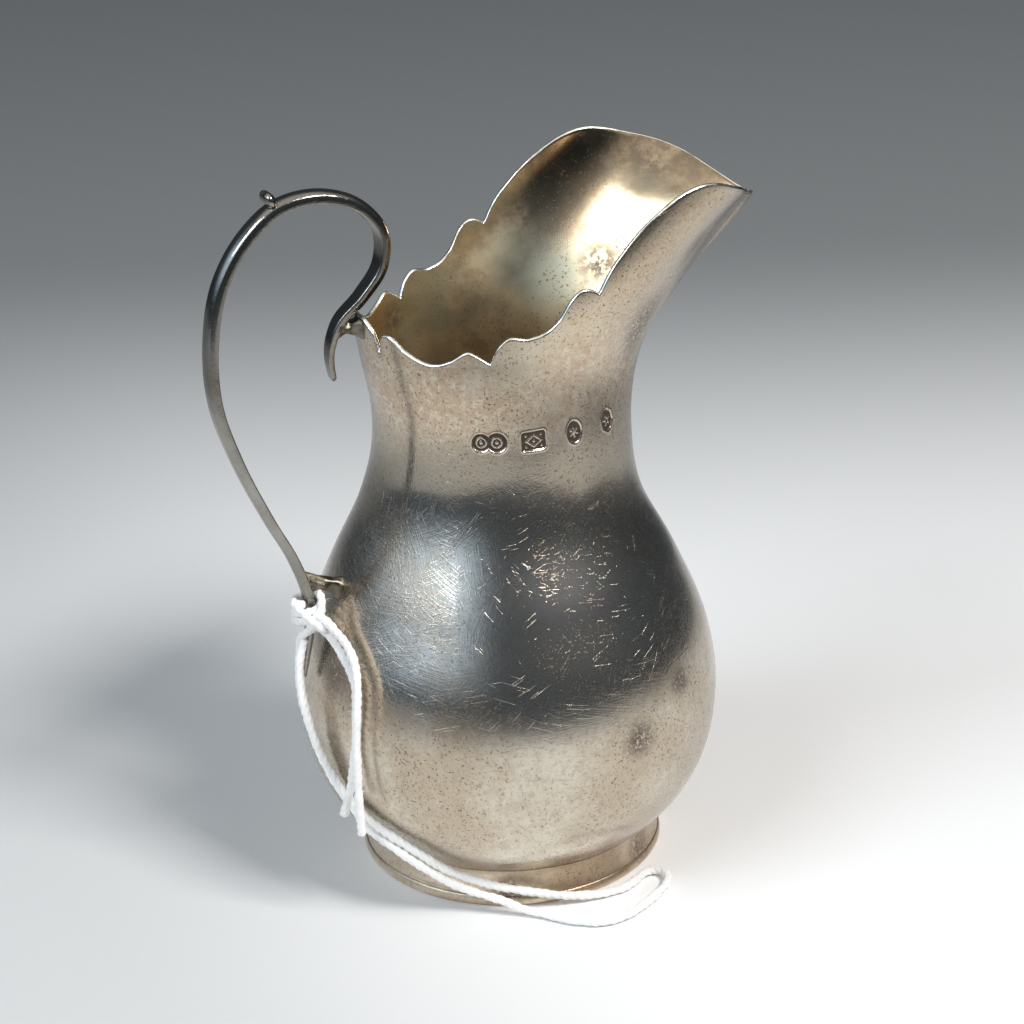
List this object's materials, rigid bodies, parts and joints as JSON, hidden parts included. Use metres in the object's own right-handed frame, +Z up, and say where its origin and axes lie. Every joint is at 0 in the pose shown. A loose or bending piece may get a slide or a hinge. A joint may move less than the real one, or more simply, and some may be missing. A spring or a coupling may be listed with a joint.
{
  "type": "cream jug",
  "caption": "Small baluster cream jug in tarnished silver with a scalloped rim, wide pouring lip, scroll handle, ring foot and a cotton ticket string tied to the handle.",
  "frame": {"origin": "centre of the base of the jug's own box, on the surface that the foot stands on, without the string", "axes": "+Z up, +X from the handle towards the spout, +Y to the left of someone who looks along the spout"},
  "size_m": [0.0758, 0.0568, 0.0947],
  "materials": {
    "body_silver": "old polished silver, warm tarnish, fine scratches and pitting",
    "foot_silver": "brownish-gold tarnished silver, mottled",
    "handle_silver": "dark toned silver with bright worn ridges",
    "solder": "dull grey hard solder",
    "cotton_string": "white twisted cotton string"
  },
  "bodies": {
    "root": {"body": "body_silver", "foot_collar": "foot_silver", "foot_wire": "foot_silver", "handle": "handle_silver", "thumb_spur": "handle_silver", "neck_solder": "solder", "belly_solder": "solder", "string_knot": "cotton_string", "string_loop": "cotton_string", "string_tail_short": "cotton_string", "string_tail_long": "cotton_string"}
  },
  "joints": []
}
